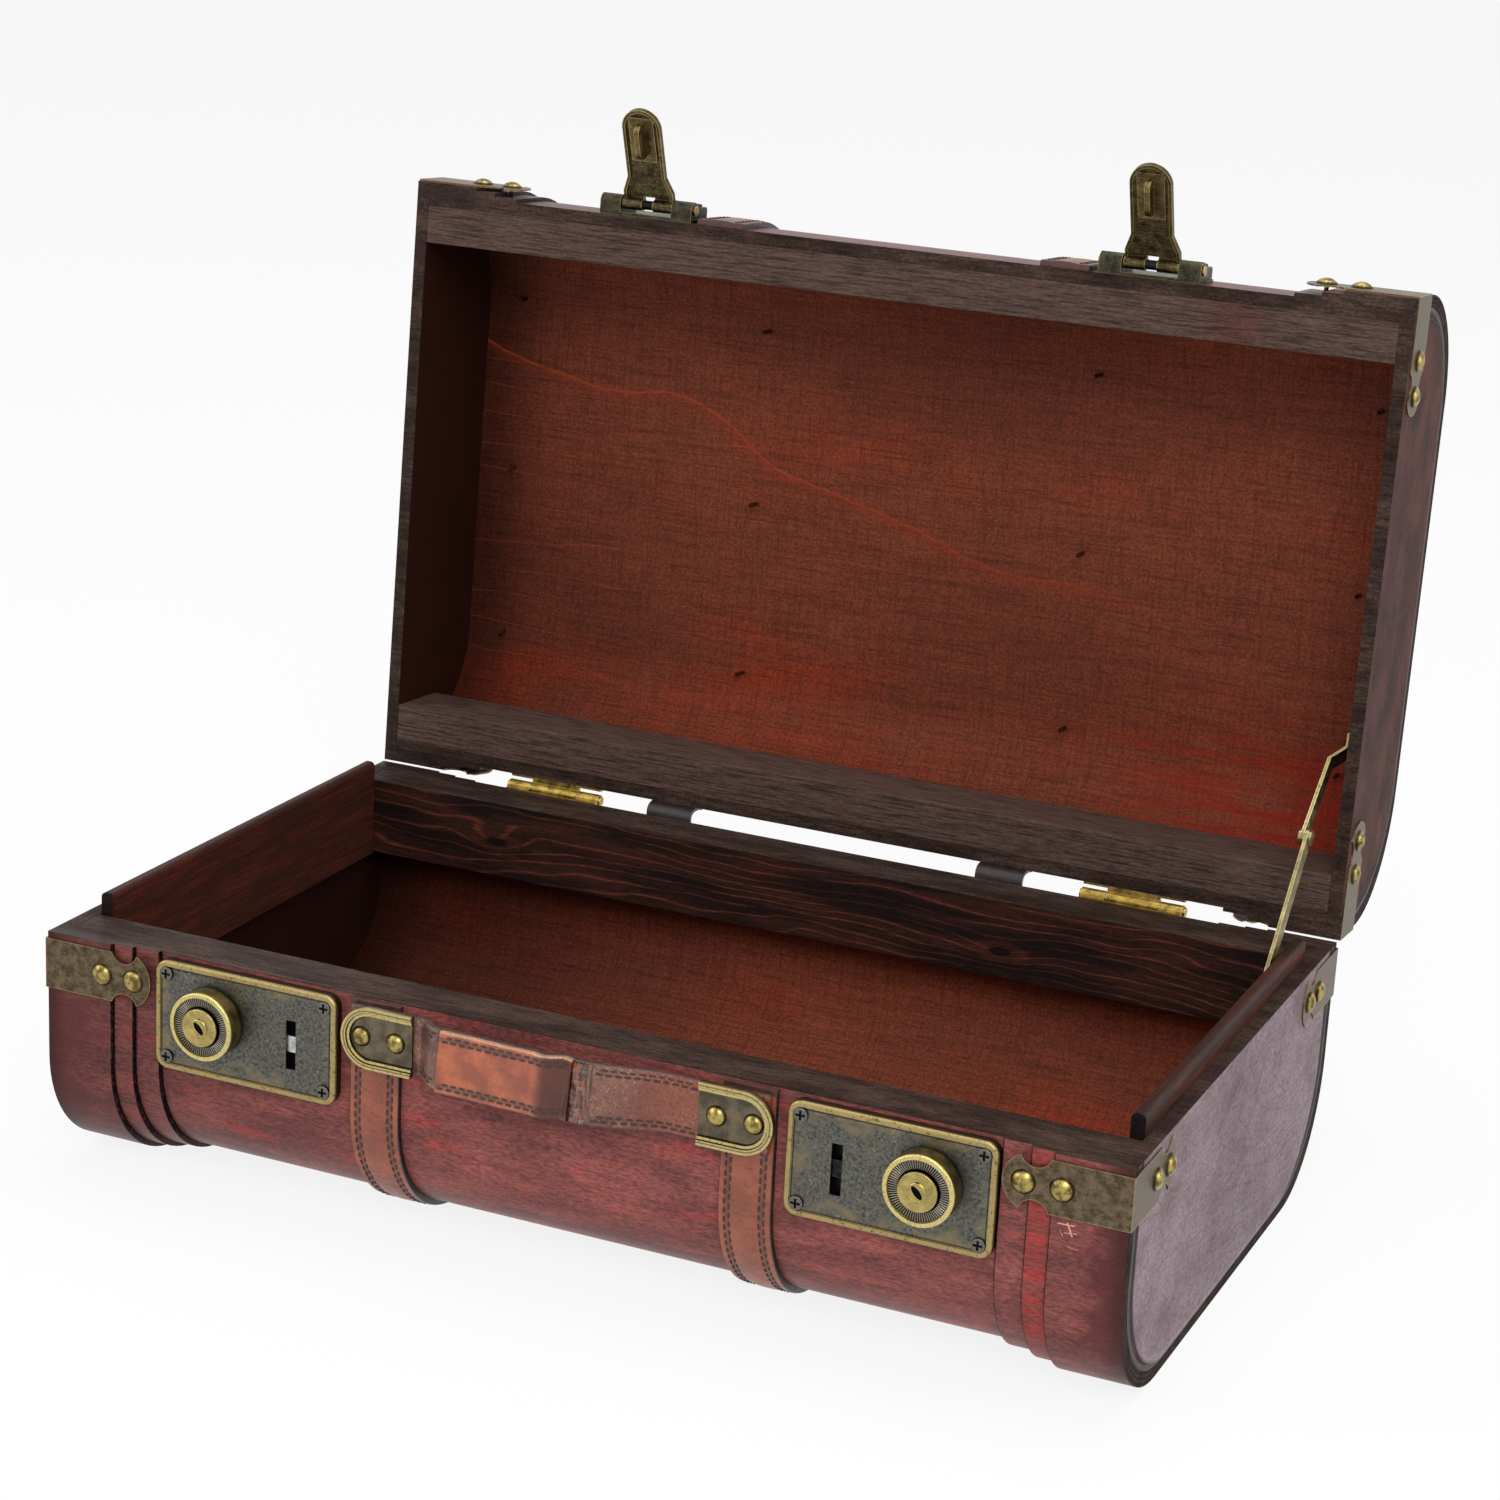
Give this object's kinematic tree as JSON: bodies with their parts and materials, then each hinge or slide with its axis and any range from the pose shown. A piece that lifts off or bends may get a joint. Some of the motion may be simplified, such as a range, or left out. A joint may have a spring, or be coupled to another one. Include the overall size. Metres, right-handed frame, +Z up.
{
  "type": "suitcase chest",
  "caption": "Old style wooden suitcase chest, standing open, with bent plywood shells, leather straps and handle, corner brackets, sliding key locks, sprung hasps and a folding lid stay.",
  "frame": {"origin": "centre of the base's underside, on the plane it stands on", "axes": "+X to the chest's right, seen from the front, +Y to its back where the hinges are, +Z up"},
  "size_m": [0.3854, 0.311, 0.3444],
  "materials": {
    "plywood_outside": "dark mahogany stain, satin varnish",
    "end_panels": "worn grey brown stain with dark plies at the edge",
    "rails": "dark matt stain",
    "liners": "dark stain with reddish wear",
    "bands": "red brown veneer with dark edges",
    "red_bands": "bright red veneer",
    "strap_leather": "orange brown, stitched",
    "handle_leather": "tan, stitched",
    "bronze": "dull olive bronze",
    "gunmetal": "blue grey with brass showing through",
    "brass": "worn bright",
    "steel": "dark and worn"
  },
  "bodies": {
    "base": {"base_end_left": "end_panels", "base_end_right": "end_panels", "base_front_rail": "rails", "base_back_rail": "rails", "base_liner_left": "liners", "base_liner_right": "liners", "base_skin": "plywood_outside", "base_band_inner": "bands", "base_band_middle": "red_bands", "base_band_outer": "bands", "base_straps": "strap_leather", "base_corner_brackets": "bronze", "base_bracket_nails": "brass", "lock_plate_left": "gunmetal", "lock_plate_right": "gunmetal", "lock_screws": "steel", "lock_springs": "steel", "handle_clip_left": "brass", "handle_clip_right": "brass", "handle_rivets": "brass", "handle_strap": "handle_leather", "handle_sleeve": "handle_leather", "base_hinge_leaves": "brass", "hinge_pins": "brass", "base_hinge_screws": "brass", "stay_lower_rivet": "brass"},
    "lid": {"lid_end_left": "end_panels", "lid_end_right": "end_panels", "lid_front_rail": "rails", "lid_back_rail": "rails", "lid_skin": "plywood_outside", "lid_band_inner": "bands", "lid_band_middle": "red_bands", "lid_band_outer": "bands", "lid_straps": "strap_leather", "lid_corner_brackets": "bronze", "lid_bracket_nails": "brass", "lid_top_nails": "brass", "lid_hinge_leaves": "brass", "lid_hinge_screws": "brass", "hasp_base_left": "bronze", "hasp_base_right": "bronze", "hasp_pins": "brass", "hasp_springs": "steel", "hasp_screws": "brass", "stay_lid_stud": "brass", "strap_folds": "strap_leather"},
    "hasp_left": {"hasp_leaf_left": "bronze", "hasp_tongue_left": "steel"},
    "hasp_right": {"hasp_leaf_right": "bronze", "hasp_tongue_right": "steel"},
    "latch_left": {"lock_knob_left": "bronze", "lock_bolt_left": "steel"},
    "latch_right": {"lock_knob_right": "bronze", "lock_bolt_right": "steel"},
    "plug_left": {"lock_plug_left": "brass"},
    "plug_right": {"lock_plug_right": "brass"},
    "stay_lower": {"stay_lower_arm": "brass", "stay_mid_rivet": "brass"},
    "stay_upper": {"stay_upper_arm": "brass"}
  },
  "joints": [
    {"name": "lid_hinge", "type": "hinge", "parent": "base", "child": "lid", "pos_m": [0, 0.1119, 0.08535], "axis": [1, 0, 0], "range_deg": [0, 94.4], "deforming": ["strap_folds"]},
    {"name": "stay_lower_fold", "type": "hinge", "parent": "base", "child": "stay_lower", "pos_m": [0.1792, 0.057, 0.0822], "axis": [1, 0, 0], "range_deg": [0, 118.42]},
    {"name": "stay_upper_fold", "type": "hinge", "parent": "stay_lower", "child": "stay_upper", "pos_m": [0.1778, 0.09871, 0.12533], "axis": [1, 0, 0], "range_deg": [-147.92, 0]},
    {"name": "hasp_left_hinge", "type": "hinge", "parent": "lid", "child": "hasp_left", "pos_m": [-0.0962, 0.13342, 0.30826], "axis": [1, 0, 0], "range_deg": [0, 66.6], "stiffness_Nm_per_rad": 0.008, "springref_deg": -28.65},
    {"name": "latch_left_slide", "type": "slide", "parent": "base", "child": "latch_left", "axis": [-1, 0, 0], "range_m": [0, 0.005], "stiffness_N_per_m": 200, "springref_m": -0.004, "deforming": ["lock_springs"]},
    {"name": "plug_left_turn", "type": "hinge", "parent": "latch_left", "child": "plug_left", "pos_m": [-0.1258, -0.1163, 0.0665], "axis": [0, 1, 0], "range_deg": [0, 90]},
    {"name": "hasp_right_hinge", "type": "hinge", "parent": "lid", "child": "hasp_right", "pos_m": [0.0962, 0.13342, 0.30826], "axis": [1, 0, 0], "range_deg": [0, 66.6], "stiffness_Nm_per_rad": 0.008, "springref_deg": -28.65},
    {"name": "latch_right_slide", "type": "slide", "parent": "base", "child": "latch_right", "axis": [1, 0, 0], "range_m": [0, 0.005], "stiffness_N_per_m": 200, "springref_m": -0.004, "deforming": ["lock_springs"]},
    {"name": "plug_right_turn", "type": "hinge", "parent": "latch_right", "child": "plug_right", "pos_m": [0.1258, -0.1163, 0.0665], "axis": [0, 1, 0], "range_deg": [0, 90]}
  ],
  "couplings": [
    {"joint": "stay_lower_fold", "follows": "lid_hinge", "ratio": 1.2524},
    {"joint": "stay_upper_fold", "follows": "lid_hinge", "ratio": -1.5649}
  ]
}
